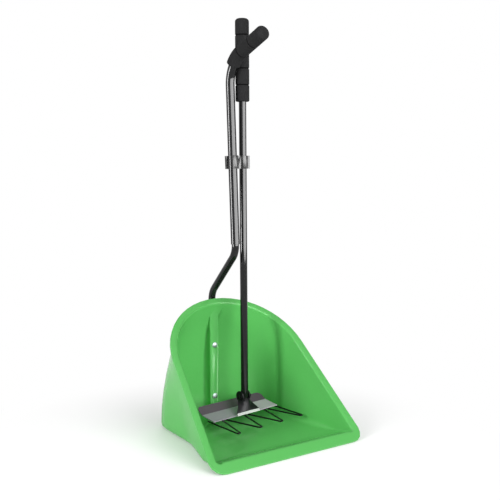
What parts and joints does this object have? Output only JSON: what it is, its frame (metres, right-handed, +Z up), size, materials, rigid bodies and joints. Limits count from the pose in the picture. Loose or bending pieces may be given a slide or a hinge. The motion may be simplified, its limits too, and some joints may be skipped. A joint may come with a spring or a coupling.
{
  "type": "manure scoop",
  "caption": "Green plastic scoop pan with a sloping rim on a cranked tube handle with a foam grip, and a wire-tined rake hanging beside it in a spring clip.",
  "frame": {"origin": "point of the flat base in the mid-plane, 190 mm behind the front lip", "axes": "+X to the right seen from the front, +Y to the back, towards the handle's foot, +Z up along the handle; the front lip faces -Y"},
  "size_m": [0.365, 0.33, 0.8775],
  "materials": {
    "pan_plastic": "glossy moulded green",
    "black_tube": "gloss black powder coat",
    "foam": "matt closed-cell foam",
    "black_plastic": "glossy",
    "plug_plastic": "matt",
    "zinc": "zinc plated",
    "head_paint": "satin dark grey paint",
    "black_wire": "gloss black paint"
  },
  "bodies": {
    "scoop": {"scoop_pan": "pan_plastic", "lower_tube": "black_tube", "upper_tube": "black_tube", "lower_tube_plug": "plug_plastic", "handle_grip": "foam", "pan_bolt_lower": "zinc", "pan_bolt_upper": "zinc", "pan_washer_lower": "zinc", "pan_washer_upper": "zinc", "pan_nut_lower": "zinc", "pan_nut_upper": "zinc", "tube_joint_screw": "zinc"},
    "clip": {"storage_clip": "black_plastic"},
    "rake": {"rake_tube": "black_tube", "rake_grip": "foam", "rake_head_plate": "head_paint", "rake_tines": "black_wire", "rake_shoe": "black_tube", "shoe_bolt": "black_tube", "shoe_nut": "black_tube", "shoe_rivet_left": "black_tube", "shoe_rivet_right": "black_tube"}
  },
  "joints": [
    {"name": "clip_turn", "type": "hinge", "parent": "scoop", "child": "clip", "pos_m": [0, 0.0358, 0.577], "axis": [0, 0.057, 0.9984], "range_deg": [0, 6]},
    {"name": "rake_slide", "type": "slide", "parent": "clip", "child": "rake", "axis": [-0.0012, 0.0093, 1], "range_m": [-0.012, 0.12]}
  ]
}
